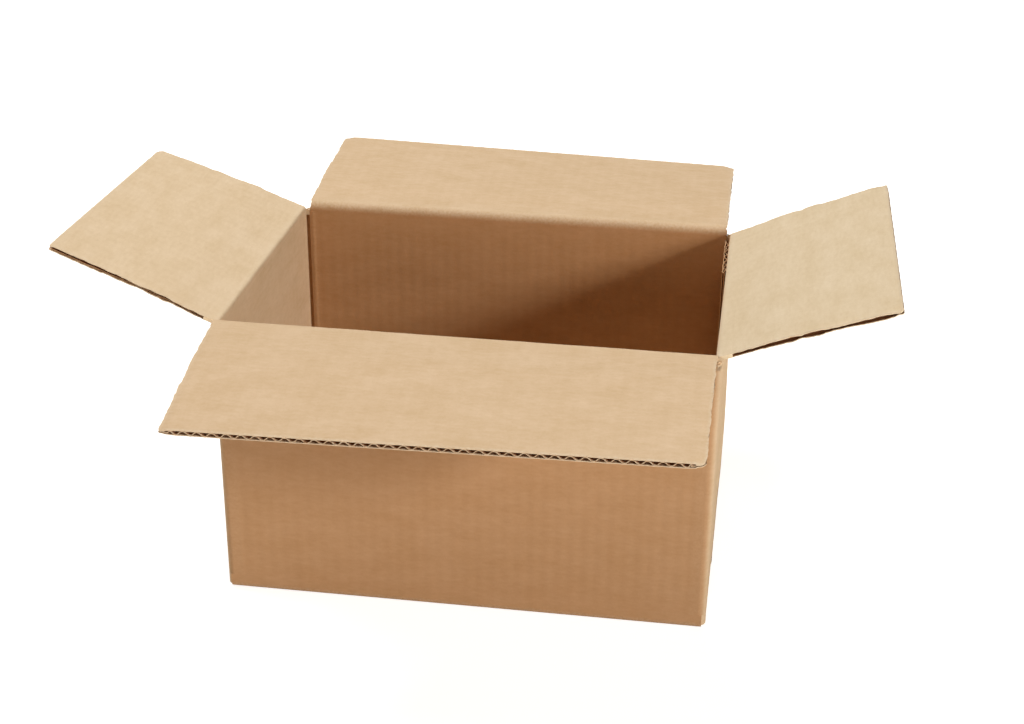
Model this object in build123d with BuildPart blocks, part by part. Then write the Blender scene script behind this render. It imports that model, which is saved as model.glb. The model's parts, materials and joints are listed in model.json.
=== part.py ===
from build123d import *
import math
import os

os.makedirs("parts", exist_ok=True)

# An open shipping carton of single wall corrugated board, in millimetres and degrees.
# It is one slotted sheet, folded round four corners and glued where its two ends meet.
# The origin is the centre of the base on the floor. X runs along the two long walls,
# Y along the two end walls, Z is up, and the front long wall faces -Y.

# Outside size of the folded box
box_length = 238.0
box_width = 167.0
box_height = 146.0

# The board, and its flutes, which run up the walls and out to the free edges of the flaps
board_thickness = 3.0
liner_thickness = 0.35
medium_thickness = 0.30
flute_pitch = 6.4
glue_line = 0.5
crest_radius = 0.7

# Folds: the inside of each upright fold has a scored groove with a raised bead beside it
crease_radius = 1.0
groove_radius = 1.2
bead_width = 3.0
bead_height = 0.4
bead_offset = 3.2

# Slots between neighbouring flaps, measured in from the outside of the corner
front_slot = 2.0
back_slot = 4.6
end_slot_clearance = 1.0
seam_gap = 1.0
stack_gap = 0.3

# Top creases: the board thins to its outer liner, and the flap turns about that line
hinge_stand_off = 0.1
mitre_gap = 0.25
web_thickness = 0.15
roll_radius = 4.0

# Flaps: the lean of each from upright, and the rounding that slotting and handling leave
front_lean = 101.0
back_lean = 86.7
left_lean = 69.8
right_lean = 69.5
free_corner_radius = 2.4
root_corner_radius = 3.0
crushed_root = 8.0

# The glued joint: a tab inside the right wall, at the back corner
tab_width = 32.0
tab_thickness = 2.4
tab_foot_clearance = 6.0
tab_top_clearance = 0.5
tab_taper = 6.0

# Packing tape over the seam of the base and up both end walls
tape_width = 48.0
tape_thickness = 0.1
tape_leg = 45.0

# Places that follow from these sizes
half_length = box_length / 2
half_width = box_width / 2
end_slot = board_thickness + end_slot_clearance
fold_radius = board_thickness + crease_radius
flap_length = (box_width - seam_gap) / 2
mitre_offset = mitre_gap / math.sqrt(2)
tip_drop = hinge_stand_off + web_thickness + mitre_offset
mitre_drop = hinge_stand_off + board_thickness + mitre_offset
end_floor = board_thickness + stack_gap
floor_top = end_floor + board_thickness
long_crease = box_height
end_crease = long_crease - board_thickness - stack_gap
corner_foot = end_floor - crease_radius
corner_tip = end_crease - tip_drop
bead_top = end_crease - mitre_drop - roll_radius
tape_fold = min(front_slot, back_slot)

up = Vector(0, 0, 1)
front = Vector(0, -1, 0)
back = Vector(0, 1, 0)
left = Vector(-1, 0, 0)
right = Vector(1, 0, 0)


def strip_section(base, crease, reach):
    """One wall with its floor flap: x runs in from the outer face and y is the height."""
    with BuildSketch(Plane.XY) as section:
        with BuildLine():
            Polyline(
                (0, base),
                (0, crease - tip_drop),
                (web_thickness, crease - tip_drop),
                (board_thickness, crease - mitre_drop),
                (board_thickness, base + board_thickness),
                (reach, base + board_thickness),
                (reach, base),
                close=True,
            )
        make_face()
        heights = section.vertices().group_by(Axis.Y)
        fillet(heights[0].sort_by(Axis.X)[0], fold_radius)
        fillet(heights[1].sort_by(Axis.X)[0], crease_radius)
        fillet(heights[2], roll_radius)
    return section.sketch


def wall_plane(outward, distance):
    """Plane across a wall at its middle, with x running into the box and y upward."""
    inward = outward * -1
    return Plane(origin=outward * distance, x_dir=inward, z_dir=inward.cross(up))


def corner_section(x_side, y_side, slot):
    """The rounded fold that stands at one corner between the slots."""
    across = x_side * (half_length - slot / 2)
    along = y_side * (half_width - end_slot / 2)
    with BuildSketch(Plane.XY) as section:
        RectangleRounded(box_length, box_width, fold_radius)
        Rectangle(box_length - 2 * board_thickness, box_width - 2 * board_thickness, mode=Mode.SUBTRACT)
        with Locations((across, along)):
            Rectangle(slot, end_slot, mode=Mode.INTERSECT)
    return section.sketch


def flap_axes(outward, lean):
    """Directions of a leaning flap: along its crease, out along the board, and into the board."""
    angle = math.radians(lean)
    along = outward.cross(up)
    reach = outward * math.sin(angle) + up * math.cos(angle)
    inward = up * math.sin(angle) - outward * math.cos(angle)
    return along, reach, inward


def flute_section(width):
    """Open channels on both sides of the wavy medium, seen on a flap's free edge."""
    waves = round(width / flute_pitch)
    pitch = width / waves
    foot = (pitch - glue_line) / 2
    low = hinge_stand_off + liner_thickness
    high = hinge_stand_off + board_thickness - liner_thickness
    with BuildSketch(Plane.XY) as section:
        with Locations(*[(-width / 2 + n * pitch, 0) for n in range(waves + 1)]):
            Polygon((-foot, low), (foot, low), (0, high - medium_thickness), align=None)
        with Locations(*[(-width / 2 + (n + 0.5) * pitch, 0) for n in range(waves)]):
            Polygon((foot, high), (-foot, high), (0, low + medium_thickness), align=None)
        heights = section.vertices().group_by(Axis.Y)
        fillet(heights[1] + heights[2], crest_radius)
    return section.sketch


def make_flap(outward, distance, crease, width, lean):
    """One top flap at its lean, with a mitred root and flutes open at its free edge."""
    along, reach, inward = flap_axes(outward, lean)
    hinge = outward * (distance + hinge_stand_off) + up * crease
    inner_face = hinge_stand_off + board_thickness
    with BuildPart() as flap:
        with BuildSketch(Plane(origin=hinge, x_dir=inward, z_dir=along * -1)) as profile:
            with BuildLine():
                Polyline(
                    (hinge_stand_off, tip_drop),
                    (hinge_stand_off + web_thickness, tip_drop),
                    (inner_face, mitre_drop),
                    (inner_face, flap_length),
                    (hinge_stand_off, flap_length),
                    close=True,
                )
            make_face()
            inner_side = profile.vertices().group_by(Axis.X)[-1]
            fillet(inner_side.sort_by(Axis.Y)[0], roll_radius)
        extrude(amount=width / 2, both=True)
        with BuildSketch(Plane(origin=hinge, x_dir=along, z_dir=inward)) as outline:
            Rectangle(width, flap_length, align=(Align.CENTER, Align.MIN))
            ends = outline.vertices().group_by(Axis.Y)
            fillet(ends[0], root_corner_radius)
            fillet(ends[-1], free_corner_radius)
        extrude(amount=inner_face + board_thickness, mode=Mode.INTERSECT)
        with BuildSketch(Plane(origin=hinge + reach * flap_length, x_dir=along, z_dir=reach * -1)):
            add(flute_section(width))
        extrude(amount=flap_length - crushed_root, mode=Mode.SUBTRACT)
    return flap.part


def tape_outline(reach, low, radius):
    """Area inside a strip that runs along the base and up both ends."""
    with BuildSketch(Plane.XY) as outline:
        with Locations((0, low)):
            Rectangle(2 * reach, tape_leg - low, align=(Align.CENTER, Align.MIN))
        fillet(outline.vertices().group_by(Axis.Y)[0], radius)
    return outline.sketch


# The folded sheet: four walls with their floor flaps, joined at rounded corners
with BuildPart() as box_body:
    for side, slot in ((-1, front_slot), (1, back_slot)):
        for end in (-1, 1):
            with BuildSketch(Plane.XY.offset(corner_foot)):
                add(corner_section(end, side, slot))
            extrude(amount=corner_tip - corner_foot)
    for outward, slot in ((front, front_slot), (back, back_slot)):
        with BuildSketch(wall_plane(outward, half_width)):
            add(strip_section(0, long_crease, flap_length))
        extrude(amount=half_length - slot, both=True)
    for outward in (left, right):
        with BuildSketch(wall_plane(outward, half_length)):
            add(strip_section(end_floor, end_crease, flap_length))
        extrude(amount=half_width - end_slot, both=True)

    # Beads raised on the inside faces by the scoring of the three folded corners
    bead_inset = board_thickness + bead_offset
    long_bead = half_length - bead_inset
    end_bead = half_width - bead_inset
    with BuildSketch(Plane.XY.offset(end_floor + board_thickness / 2)):
        with Locations(
            (-long_bead, -half_width + board_thickness),
            (long_bead, -half_width + board_thickness),
            (-long_bead, half_width - board_thickness),
        ):
            Ellipse(bead_width / 2, bead_height)
        with Locations(
            (-half_length + board_thickness, -end_bead),
            (half_length - board_thickness, -end_bead),
            (-half_length + board_thickness, end_bead),
        ):
            Ellipse(bead_height, bead_width / 2)
    extrude(amount=bead_top - end_floor - board_thickness / 2)

    # The glued tab, cut at a taper top and bottom
    tab_low = floor_top + tab_foot_clearance
    tab_high = end_crease - mitre_drop - tab_top_clearance
    joint_corner = Vector(half_length - board_thickness, half_width - board_thickness, 0)
    with BuildSketch(Plane(origin=joint_corner, x_dir=front, z_dir=left)):
        with BuildLine():
            Polyline(
                (0, tab_low),
                (tab_width, tab_low + tab_taper),
                (tab_width, tab_high - tab_taper),
                (0, tab_high),
                close=True,
            )
        make_face()
    extrude(amount=tab_thickness)

    # Scored grooves down the inside of the folded corners
    with Locations(
        (-half_length + board_thickness, -half_width + board_thickness, floor_top),
        (half_length - board_thickness, -half_width + board_thickness, floor_top),
        (-half_length + board_thickness, half_width - board_thickness, floor_top),
    ):
        Cylinder(
            groove_radius,
            box_height - floor_top,
            align=(Align.CENTER, Align.CENTER, Align.MIN),
            mode=Mode.SUBTRACT,
        )

    # The tape is pressed into the base and lies flush with it
    Box(
        box_length,
        tape_width,
        tape_thickness,
        align=(Align.CENTER, Align.CENTER, Align.MIN),
        mode=Mode.SUBTRACT,
    )

# The tape: along the seam of the base, round both ends and up the end walls
with BuildPart() as bottom_tape:
    with BuildSketch(Plane.XZ):
        add(tape_outline(half_length + tape_thickness, 0, tape_fold + tape_thickness))
        add(tape_outline(half_length, tape_thickness, tape_fold), mode=Mode.SUBTRACT)
    extrude(amount=tape_width / 2, both=True)

# The four top flaps, each as wide as its wall less the slots at its ends
long_flaps = {
    "front_flap": (front, front_slot, front_lean),
    "back_flap": (back, back_slot, back_lean),
}
end_flaps = {
    "left_flap": (left, left_lean),
    "right_flap": (right, right_lean),
}
pieces = {"box_body": box_body.part, "bottom_tape": bottom_tape.part}
for name, (outward, slot, lean) in long_flaps.items():
    pieces[name] = make_flap(outward, half_width, long_crease, box_length - 2 * slot, lean)
for name, (outward, lean) in end_flaps.items():
    pieces[name] = make_flap(outward, half_length, end_crease, box_width - 2 * end_slot, lean)

for name, piece in pieces.items():
    piece.label = name
    export_step(piece, f"parts/{name}.step")
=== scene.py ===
import json
import math

import bmesh
import bpy
import numpy as np
from mathutils import Matrix, Vector


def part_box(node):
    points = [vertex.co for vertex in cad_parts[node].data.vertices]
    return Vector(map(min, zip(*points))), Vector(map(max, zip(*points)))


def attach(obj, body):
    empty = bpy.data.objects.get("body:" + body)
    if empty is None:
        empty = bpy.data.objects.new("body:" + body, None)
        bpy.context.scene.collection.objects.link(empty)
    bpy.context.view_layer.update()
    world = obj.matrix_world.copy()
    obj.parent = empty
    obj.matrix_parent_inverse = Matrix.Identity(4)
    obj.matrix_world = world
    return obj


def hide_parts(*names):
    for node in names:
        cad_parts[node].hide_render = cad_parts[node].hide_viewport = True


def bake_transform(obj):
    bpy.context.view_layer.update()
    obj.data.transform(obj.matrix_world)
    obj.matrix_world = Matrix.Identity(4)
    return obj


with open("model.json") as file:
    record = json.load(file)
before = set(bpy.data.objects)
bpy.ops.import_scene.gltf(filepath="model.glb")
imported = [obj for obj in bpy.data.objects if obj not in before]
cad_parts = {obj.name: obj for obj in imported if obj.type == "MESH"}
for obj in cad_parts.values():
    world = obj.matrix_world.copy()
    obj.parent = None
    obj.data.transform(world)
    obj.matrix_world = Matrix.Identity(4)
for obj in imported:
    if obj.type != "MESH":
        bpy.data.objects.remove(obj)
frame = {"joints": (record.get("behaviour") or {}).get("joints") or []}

bl_info = {
    "name": "Open Shipping Carton",
    "version": (1, 0, 0),
    "blender": (4, 5, 0),
    "location": "View3D > Sidebar > Carton",
    "description": "Builds an open carton of single wall corrugated board",
    "category": "Add Mesh",
}

# The carton stands on the floor with its front long wall facing -Y. Lengths are metres.
# The sheet is described by three distances: along a crease or round the walls, along the
# flutes, and depth through the board from its outside face.

MM = 0.001
UP = np.array([0.0, 0.0, 1.0])
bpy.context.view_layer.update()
BODY_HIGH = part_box("box_body")[1]
HALF_LENGTH = BODY_HIGH.x
HALF_WIDTH = BODY_HIGH.y
JOINTS = {joint["name"]: joint for joint in frame["joints"]}
LONG_SIDES = ("front", "back")
SIDES = ("front", "back", "left", "right")
LINER, CUT, FLUTE = range(3)

# Meshes: angle of a sharp edge, columns of a folded strip, points round a bend, and the
# spacing of points beside an upright fold and round a corner post
SHARP_ANGLE = math.radians(38)
STRIP_COLUMNS = 61
BEND_POINTS = 9
FOLD_STEP, FOLD_SPAN = 0.5 * MM, 8 * MM
POST_STEP = 0.5 * MM

# Noise patterns: the middle range in which nearly all of their values lie
NOISE_MIDDLE = (0.3, 0.7)

# Paper: how much each pattern adds to the mottling, where specks and scuffs start and are
# full, how dark a speck is, and how far the roughness varies
PULP_WEIGHT, FIBRE_WEIGHTS = 1.2, (0.7, 0.6, 0.5)
SPECK_RANGE, SPECK_DEPTH = (0.69, 0.76), 0.45
SCUFF_RANGE = (0.35, 0.62)
PAPER_SHEEN, PAPER_GLOSS = 0.06, 0.03

# Tape: its smoothest and roughest film, its darkest and palest drag lines, and the pale
# patches of air under it
TAPE_ROUGHNESS, TAPE_SHADES = (0.22, 0.34), (0.93, 1.07)
TRAPPED_AIR_RANGE, TRAPPED_AIR_SHARE, TRAPPED_AIR_SHADE = (0.56, 0.66), 0.35, 1.35

# Floor: half its width, its points along a side, how far it lies under the carton, how far
# out its white starts to rise and is full, and its darkest and palest patches
FLOOR_REACH, FLOOR_ROWS, FLOOR_DROP = 4.0, 9, 0.2 * MM
FLOOR_FADE, FLOOR_SHADES = (0.5, 1.6), (0.98, 1.0)

# Lamps: where they stand, how wide they are, their tint and the setting for their power
LAMP_TARGET = (0.0, 0.0, 0.1)
LAMPS = {
    "side_lamp": ((1.6, -0.96, 0.8), 0.3, (1.0, 0.97, 0.92), "side_power"),
    "overhead_lamp": ((-1.1, 0.6, 2.4), 1.2, (1.0, 0.98, 0.95), "top_power"),
    "front_fill": ((-0.2, -1.7, 0.3), 0.5, (1.0, 0.83, 0.68), "fill_power"),
}
SENSOR_WIDTH = 36.0

# Seeds of the uneven cuts, so that no two of them fray alike
FLAP_SEED, FLOOR_SEED, TAB_SEED, ROLL_SEED = 3, 30, 5, 7
INNER_LINER_SEED, MEDIUM_SEED = 40, 80
SIDE_SEEDS = {-1: 200, 1: 400}
WAVER_SEED, PINCH_SEED, FREE_EDGE_SEED = 5, 61, 91


def smooth_step(low, high, value):
    """Rises smoothly from 0 at low to 1 at high."""
    share = np.clip((value - low) / (high - low), 0.0, 1.0)
    return share * share * (3 - 2 * share)


def ragged(stations, grain, depth, seed):
    """Uneven offsets along a line, the same on every run."""
    stations = np.asarray(stations, float)
    knots = np.arange(stations.min() - grain, stations.max() + 2 * grain, grain)
    draws = np.random.default_rng(seed).uniform(-1, 1, len(knots))
    return depth * np.interp(stations, knots, draws)


def place_grid(x, y, z):
    """One grid of places from coordinates that may be grids, rows, columns or numbers."""
    return np.stack(np.broadcast_arrays(x, y, z), axis=-1)


def distances(steps):
    """How far each point lies along a line, from the lengths of the line's steps."""
    return np.concatenate([[0], np.cumsum(steps)])


def bezier(start, start_handle, end_handle, end, shares):
    """Points of a cubic curve. The ends may be arrays of points, one for each column."""
    t = shares.reshape(-1, *[1] * np.ndim(start))
    return (
        (1 - t) ** 3 * start
        + 3 * (1 - t) ** 2 * t * start_handle
        + 3 * (1 - t) * t ** 2 * end_handle
        + t ** 3 * end
    )


class Crease:
    """A top crease: where it runs, which way its flap leans, and the size of the flap."""

    def __init__(self, side, board):
        joint = JOINTS[f"{side}_crease"]
        self.side = side
        self.flap = joint["child"]
        self.hinge = np.array(joint["pos_m"], float)
        self.height = self.hinge[2]
        self.outward = np.cross(np.array(joint["axis"], float), UP)
        self.run = np.abs(np.array(joint["axis"], float))
        self.lean = math.radians(-joint["range_deg"][0]) - math.pi / 2
        low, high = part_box(self.flap)
        self.half_width = float(self.run @ np.array(high - low)) / 2
        self.reach = HALF_WIDTH - board.seam_gap / 2
        self.distance = abs(self.outward @ np.array(BODY_HIGH))
        self.face = self.outward * self.distance
        self.half_wall = HALF_LENGTH if side in LONG_SIDES else HALF_WIDTH
        self.twist = getattr(board, f"{side}_twist")
        self.sink = getattr(board, f"{side}_sink")
        self.board = board

    def directions(self, along):
        """The flap's directions out along its board and into it, at places along the crease."""
        lean = (self.lean + self.twist * along / self.half_width)[..., None]
        reach = self.outward * np.sin(lean) + UP * np.cos(lean)
        inward = UP * np.sin(lean) - self.outward * np.cos(lean)
        return reach, inward

    def on_flap(self, along, reach, depth):
        """Places on the flap from distances along the crease, out along the board and into it."""
        board = self.board
        along, reach, depth = np.broadcast_arrays(along, reach, depth)
        out, inward = self.directions(along)
        near_root = 1 - smooth_step(0, board.press_span, reach)
        pressed = board.root_press * near_root * depth / board.board_thickness
        sunk = self.sink * (1 - reach / self.reach)
        level = depth + board.hinge_stand_off - sunk - pressed
        return (
            self.hinge
            + along[..., None] * self.run
            + reach[..., None] * out
            + level[..., None] * inward
        )

    def on_wall(self, along, height, depth):
        """Places on the wall below the crease, from depths in from its outside face."""
        along, height, depth = np.broadcast_arrays(along, height, depth)
        return (
            self.face
            + along[..., None] * self.run
            + height[..., None] * UP
            - depth[..., None] * self.outward
        )

    def bend(self):
        """Where the board starts to turn with the flap, and where it has turned."""
        board = self.board
        centre = np.zeros(1)
        out = self.directions(centre)[0][0]
        start = self.on_wall(centre, self.height - self.sink - board.fillet, 0.0)[0]
        root = self.on_flap(centre, board.crushed_root - board.bend_margin, 0.0)[0]
        way = (out + UP) / np.linalg.norm(out + UP)
        return start, start + way * ((root - start) @ way)


class SheetMesh:
    """Collects the points, faces and finishes of one piece of board or paper."""

    def __init__(self, name):
        self.name = name
        self.points, self.places, self.wears, self.painted_light_levels = [], [], [], []
        self.faces, self.finishes = [], []
        self.count = 0

    def add_points(self, points, places, wear, pale=0.0):
        """Adds a grid of points and returns their numbers, in the same grid."""
        shape = points.shape[:-1]
        numbers = self.count + np.arange(np.prod(shape)).reshape(shape)
        self.points.append(points.reshape(-1, 3))
        self.places.append(np.broadcast_to(places, points.shape).reshape(-1, 3))
        self.wears.append(np.broadcast_to(wear, shape).reshape(-1))
        # pale is the painted light level: below 1 paints shade into the paper's colour, above 1 paints
        # light
        self.painted_light_levels.append(np.broadcast_to(pale, shape).reshape(-1))
        self.count += numbers.size
        return numbers

    def add_skin(self, numbers, finish):
        """Adds the faces between neighbouring rows and columns of a grid."""
        corners = (numbers[:-1, :-1], numbers[:-1, 1:], numbers[1:, 1:], numbers[1:, :-1])
        quads = np.stack([corner.ravel() for corner in corners], axis=1)
        self.faces.extend(quads.tolist())
        self.finishes.extend([finish] * len(quads))

    def add_slab(
        self, outer, inner, places, wear=0.0, finishes=(LINER, LINER, CUT), ring=False,
        painted_light_levels=(0.0, 0.0),
    ):
        """Adds a closed sheet between two grids of points, with raw edges round it.

        The places and the painted light levels come in pairs, for the outer grid and for the inner one.
        """
        skins = [
            self.add_points(points, place, wear, pale)
            for points, place, pale in zip((outer, inner), places, painted_light_levels)
        ]
        if ring:
            skins = [np.concatenate([skin, skin[:, :1]], axis=1) for skin in skins]
        for skin, finish in zip(skins, finishes):
            self.add_skin(skin, finish)
        first, second = skins
        edges = [(first[0], second[0]), (first[-1], second[-1])]
        if not ring:
            edges += [(first[:, 0], second[:, 0]), (first[:, -1], second[:, -1])]
        for edge in edges:
            self.add_skin(np.stack(edge), finishes[2])

    def add_post(self, outline, levels, cap_drop):
        """Adds an upright post on an outline, with raw ends that sink a little in the middle."""
        # The post sides get a painted light level of 1, without the painted wall shade
        side_wear, side_painted_light, end_wear = 0.15, 1.0, 0.3
        rows = np.stack([np.column_stack([outline, level]) for level in levels])
        places = rows[..., [0, 2, 1]]
        numbers = self.add_points(rows, places, side_wear, side_painted_light)
        numbers = np.concatenate([numbers, numbers[:, :1]], axis=1)
        self.add_skin(numbers, LINER)
        for row, ring, drop in ((0, rows[0], -cap_drop), (-1, rows[-1], cap_drop)):
            centre = ring.mean(axis=0) - [0, 0, drop]
            middle = self.add_points(centre[None], centre[None], end_wear)[0]
            for start, end in zip(numbers[row][:-1], numbers[row][1:]):
                self.faces.append([int(start), int(end), int(middle)])
                self.finishes.append(CUT)

    def build(self, materials):
        """Makes the object, with smooth faces, sharp raw edges and outward normals."""
        mesh = bpy.data.meshes.new(self.name)
        mesh.from_pydata(np.concatenate(self.points).tolist(), [], self.faces)
        mesh.polygons.foreach_set("material_index", self.finishes)
        place = mesh.attributes.new("sheet_place", "FLOAT_VECTOR", "POINT")
        place.data.foreach_set("vector", np.concatenate(self.places).ravel())
        # The second attribute carries the painted light and shade level that the paper material
        # multiplies into its colour
        for name, values in (("wear", self.wears), ("paleness", self.painted_light_levels)):
            attribute = mesh.attributes.new(name, "FLOAT", "POINT")
            attribute.data.foreach_set("value", np.concatenate(values))
        shape = bmesh.new()
        shape.from_mesh(mesh)
        bmesh.ops.recalc_face_normals(shape, faces=shape.faces)
        shape.to_mesh(mesh)
        shape.free()
        mesh.shade_smooth()
        mesh.set_sharp_from_angle(angle=SHARP_ANGLE)
        for material in materials:
            mesh.materials.append(material)
        piece = bpy.data.objects.new(self.name, mesh)
        bpy.context.scene.collection.objects.link(piece)
        return piece


def washboard(along, board):
    """Faint ribs in a liner, where it is stuck to the crests of the flutes."""
    return board.washboard * np.cos(2 * math.pi * along / board.flute_pitch)


def graded_rows(start, stop, step, fine_step, fine_span):
    """Distances from start to stop, closer together near the stop."""
    coarse = np.linspace(start, stop - fine_span, max(2, round((stop - fine_span - start) / step)))
    fine = np.linspace(stop - fine_span, stop, round(fine_span / fine_step) + 1)
    return np.concatenate([coarse, fine[1:]])


class CorrugatedPanel:
    """A panel of board from a crease to its free edge: two liners and the fluted medium."""

    def __init__(self, half_width, start, stop, shift, seed, board, painted_light_levels, radii=None):
        self.half_width, self.start, self.stop = half_width, start, stop
        self.shift, self.seed, self.board, self.painted_light_levels = shift, seed, board, painted_light_levels
        self.radii = radii or (board.rounded_corner, board.rounded_corner)

    def side_inset(self, side, reach, layer_seed):
        """How far a slotted side lies inside the panel's nominal width."""
        board, line = self.board, reach.ravel()
        radius = self.radii[0 if side < 0 else 1]
        past = np.clip(reach - (self.stop - radius), 0, radius)
        corner = radius - np.sqrt(np.maximum(radius ** 2 - past ** 2, 0))
        seed = self.seed + SIDE_SEEDS[side] + layer_seed
        fray = ragged(line, grain=1.3 * MM, depth=board.side_fray, seed=seed)
        waver = ragged(line, grain=14 * MM, depth=0.1 * MM, seed=seed + WAVER_SEED)
        return corner + waver.reshape(reach.shape) + board.side_fray + fray.reshape(reach.shape)

    def pinch(self, along, reach):
        """How far each liner is pressed in near the slotted sides and the free corners."""
        board = self.board
        side_span, corner_span = 4 * MM, 9 * MM
        from_side = self.half_width - np.abs(along)
        from_corner = np.hypot(from_side, self.stop - reach)
        side = board.side_pinch * (1 - smooth_step(0, side_span, from_side))
        corner = board.corner_pinch * (1 - smooth_step(0, corner_span, from_corner))
        uneven = 1 + ragged(
            reach[:, 0], grain=4 * MM, depth=board.pinch_unevenness, seed=self.seed + PINCH_SEED,
        )
        return (side + corner) * uneven[:, None]

    def trimmed(self, along, reach, margin, layer_seed, inset=0.0):
        """Pulls a grid of places in to the cut sides and the free edge."""
        board = self.board
        edge_span = 3 * MM
        trimmed_along = along.copy()
        for side in (-1, 1):
            weight = smooth_step(self.half_width - margin, self.half_width, side * along)
            cut = self.side_inset(side, reach[:, :1], layer_seed) + inset
            trimmed_along -= side * cut * weight
        weight = smooth_step(self.stop - edge_span, self.stop, reach)
        seed = self.seed + FREE_EDGE_SEED + layer_seed
        fray = ragged(along[0], grain=2.1 * MM, depth=board.end_fray, seed=seed)
        return trimmed_along, reach - (board.end_fray + fray[None]) * weight

    def grid(self, samples, step, fine_step):
        """Places along the crease and out from it, with so many samples across a flute."""
        columns = round(2 * self.half_width / self.board.flute_pitch * samples)
        stations = np.linspace(-self.half_width, self.half_width, columns)
        rows = graded_rows(self.start, self.stop, step, fine_step, fine_span=3 * MM)
        return np.meshgrid(stations, rows)

    def add_to(self, mesh, to_space, to_sheet):
        """Adds the panel to a mesh. The two functions turn sheet distances into places."""
        faces = ((0.0, 1, 0), (self.board.board_thickness, -1, INNER_LINER_SEED))
        for (face, inward, seed), pale in zip(faces, self.painted_light_levels):
            self.add_liner(mesh, to_space, to_sheet, face, inward, pale, seed)
        self.add_medium(mesh, to_space, to_sheet)

    def add_liner(self, mesh, to_space, to_sheet, face, inward, pale, seed):
        """Adds one of the two flat papers, pressed in at its cut edges."""
        board = self.board
        margin, fade_span = 5 * MM, 6 * MM
        full_wear, no_wear = 0.2 * MM, 1.6 * MM
        along, reach = self.grid(board.samples_per_flute, step=1.5 * MM, fine_step=0.5 * MM)
        cut_along, cut_reach = self.trimmed(along, reach, margin, seed)
        fade = smooth_step(self.start, self.start + fade_span, reach)
        ribs = washboard(along + self.shift, board) * fade
        press = inward * self.pinch(along, reach) * fade
        grids, places = [], []
        for depth in (face, face + inward * board.liner_thickness):
            grids.append(to_space(cut_along, cut_reach, depth + press + ribs))
            places.append(to_sheet(cut_along, cut_reach, np.full_like(along, depth)))
        from_cut = np.minimum(self.half_width - np.abs(along), self.stop - reach)
        wear = 1 - smooth_step(full_wear, no_wear, from_cut)
        mesh.add_slab(*grids, places, wear, (LINER, FLUTE, CUT), painted_light_levels=(pale, pale))

    def add_medium(self, mesh, to_space, to_sheet):
        """Adds the wavy paper between the liners."""
        board = self.board
        margin, inset, pattern_shift = 8 * MM, 1.3 * MM, 10 * MM
        full_wear, no_wear = 0.1 * MM, 0.8 * MM
        along, reach = self.grid(board.samples_per_wave, step=7 * MM, fine_step=1 * MM)
        phase = 2 * math.pi * (along + self.shift) / board.flute_pitch
        wave = np.tanh(board.crest_flatness * np.cos(phase)) / math.tanh(board.crest_flatness)
        swing = (board.board_thickness - board.medium_thickness) / 2 - board.liner_thickness
        middle = board.board_thickness / 2 + (swing - self.pinch(along, reach)) * wave
        slope = np.gradient(middle, axis=1) / np.gradient(along, axis=1)
        cut_along, cut_reach = self.trimmed(along, reach, margin, MEDIUM_SEED, inset)
        grids, places = [], []
        for side in (-0.5, 0.5):
            shift = side * board.medium_thickness / np.hypot(1, slope)
            spread, level = cut_along - slope * shift, middle + shift
            grids.append(to_space(spread, cut_reach, level))
            places.append(to_sheet(spread, cut_reach, level + pattern_shift))
        wear = 1 - smooth_step(full_wear, no_wear, self.stop - reach)
        mesh.add_slab(*grids, places, wear, (FLUTE, FLUTE, CUT))


def wall_bow(crease, along, height, board):
    """How far a wall swells out of line between its corners."""
    depth = getattr(board, f"{crease.side}_bow")
    rise = np.sin(math.pi * np.clip(height / board.wall_top, 0, 1)) ** 2
    across = np.cos(math.pi / 2 * np.clip(along / crease.half_wall, -1, 1)) ** 2
    return depth * rise * across


def wall_lengths(board):
    """Distance round the sheet to the start of each wall, from the front right corner."""
    fold = board.fold_radius * math.pi / 2
    long_span = 2 * (HALF_LENGTH - board.fold_radius)
    end_span = 2 * (HALF_WIDTH - board.fold_radius)
    spans = {"right": end_span, "back": long_span, "left": end_span, "front": long_span}
    starts, travelled = {}, 0.0
    for side, span in spans.items():
        travelled += fold
        starts[side] = (travelled, span)
        travelled += span
    return starts


def sheet_line(crease, board):
    """Middle of a wall as a distance round the sheet, and the way the distance grows."""
    start, span = wall_lengths(board)[crease.side]
    return start + span / 2, -1 if crease.side in ("back", "left") else 1


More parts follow.
